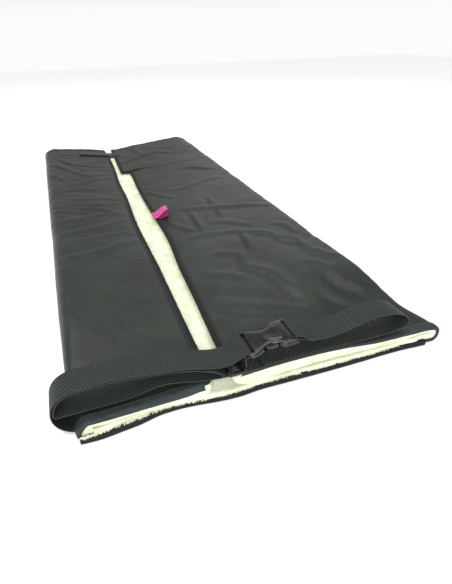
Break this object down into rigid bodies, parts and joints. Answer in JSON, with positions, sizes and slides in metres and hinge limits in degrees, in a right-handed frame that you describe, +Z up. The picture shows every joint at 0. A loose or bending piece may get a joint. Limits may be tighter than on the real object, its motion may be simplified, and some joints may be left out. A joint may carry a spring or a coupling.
{
  "type": "fleece-lined leg wrap blanket",
  "caption": "Fleece-lined wrap bag for the legs: back panel, front flaps that open to the sides, foot tab, and a waist belt with a side-release buckle.",
  "frame": {"origin": "bottom centre of the closed wrap, belt and buckle included, on the surface it lies on", "axes": "+Z up, +Y from the waist edge to the foot edge, +X to the right seen from the waist"},
  "size_m": [0.5526, 1.368, 0.0739],
  "materials": {
    "shell_nylon": "satin coated nylon, softly creased",
    "fleece": "matt deep pile",
    "edge_binding": "plain woven tape",
    "webbing": "ribbed woven webbing",
    "buckle_plastic": "moulded, semi-gloss",
    "hook_tape": "hook and loop tape",
    "tag_ribbon": "satin ribbon"
  },
  "bodies": {
    "back_panel": {"back_shell": "shell_nylon", "back_fleece": "fleece", "back_waist_binding": "edge_binding", "back_foot_binding": "edge_binding", "left_side_fold_shell": "shell_nylon", "left_side_fold_fleece": "fleece", "right_side_fold_shell": "shell_nylon", "right_side_fold_fleece": "fleece", "belt_anchor_strap": "webbing"},
    "left_flap": {"left_flap_shell": "shell_nylon", "left_flap_fleece": "fleece", "left_waist_binding": "edge_binding", "left_foot_binding": "edge_binding", "left_slit_binding": "edge_binding", "foot_tab_loop_tape": "hook_tape"},
    "right_flap": {"right_flap_shell": "shell_nylon", "right_flap_fleece": "fleece", "right_waist_binding": "edge_binding", "right_foot_binding": "edge_binding", "right_slit_binding": "edge_binding", "foot_cuff": "shell_nylon", "cuff_binding": "edge_binding", "side_tag": "tag_ribbon"},
    "foot_tab": {"foot_tab": "shell_nylon", "foot_tab_hook_tape": "hook_tape"},
    "belt": {"belt_hinge_loop": "webbing", "belt_top_strap": "webbing", "belt_adjust_strap": "webbing", "female_buckle": "buckle_plastic"},
    "slider": {"belt_slider": "buckle_plastic"},
    "buckle_male": {"male_buckle": "buckle_plastic", "belt_short_strap": "webbing"},
    "prong_near": {"release_prong_near": "buckle_plastic"},
    "prong_far": {"release_prong_far": "buckle_plastic"}
  },
  "joints": [
    {"name": "belt_swing", "type": "hinge", "parent": "back_panel", "child": "belt", "pos_m": [-0.24275, -0.639, 0.0335], "axis": [0, -1, 0], "range_deg": [0, 170], "deforming": ["belt_hinge_loop"]},
    {"name": "left_flap_open", "type": "hinge", "parent": "back_panel", "child": "left_flap", "pos_m": [-0.23225, 0, 0.0225], "axis": [0, -1, 0], "range_deg": [0, 153], "deforming": ["left_side_fold_shell", "left_side_fold_fleece"]},
    {"name": "right_flap_open", "type": "hinge", "parent": "back_panel", "child": "right_flap", "pos_m": [0.24975, 0, 0.0225], "axis": [0, 1, 0], "range_deg": [0, 105.4], "deforming": ["right_side_fold_shell", "right_side_fold_fleece"]},
    {"name": "foot_tab_peel", "type": "hinge", "parent": "right_flap", "child": "foot_tab", "pos_m": [-0.00075, 0.599, 0.0247], "axis": [0, 1, 0], "range_deg": [0, 150]},
    {"name": "buckle_release", "type": "slide", "parent": "belt", "child": "buckle_male", "axis": [0.9954, 0, 0.0958], "range_m": [0, 0.04]},
    {"name": "prong_near_squeeze", "type": "hinge", "parent": "buckle_male", "child": "prong_near", "pos_m": [0.02597, -0.6675, 0.06721], "axis": [0.0958, 0, -0.9954], "range_deg": [0, 9], "stiffness_Nm_per_rad": 0.5},
    {"name": "prong_far_squeeze", "type": "hinge", "parent": "buckle_male", "child": "prong_far", "pos_m": [0.02597, -0.6365, 0.06721], "axis": [-0.0958, 0, 0.9954], "range_deg": [0, 9], "stiffness_Nm_per_rad": 0.5},
    {"name": "slider_adjust", "type": "slide", "parent": "belt", "child": "slider", "axis": [-1, 0, 0], "range_m": [0, 0.03], "deforming": ["belt_adjust_strap"]}
  ],
  "couplings": [
    {"joint": "left_flap_open", "follows": "belt_swing", "ratio": 0.9},
    {"joint": "right_flap_open", "follows": "belt_swing", "ratio": 0.62}
  ]
}
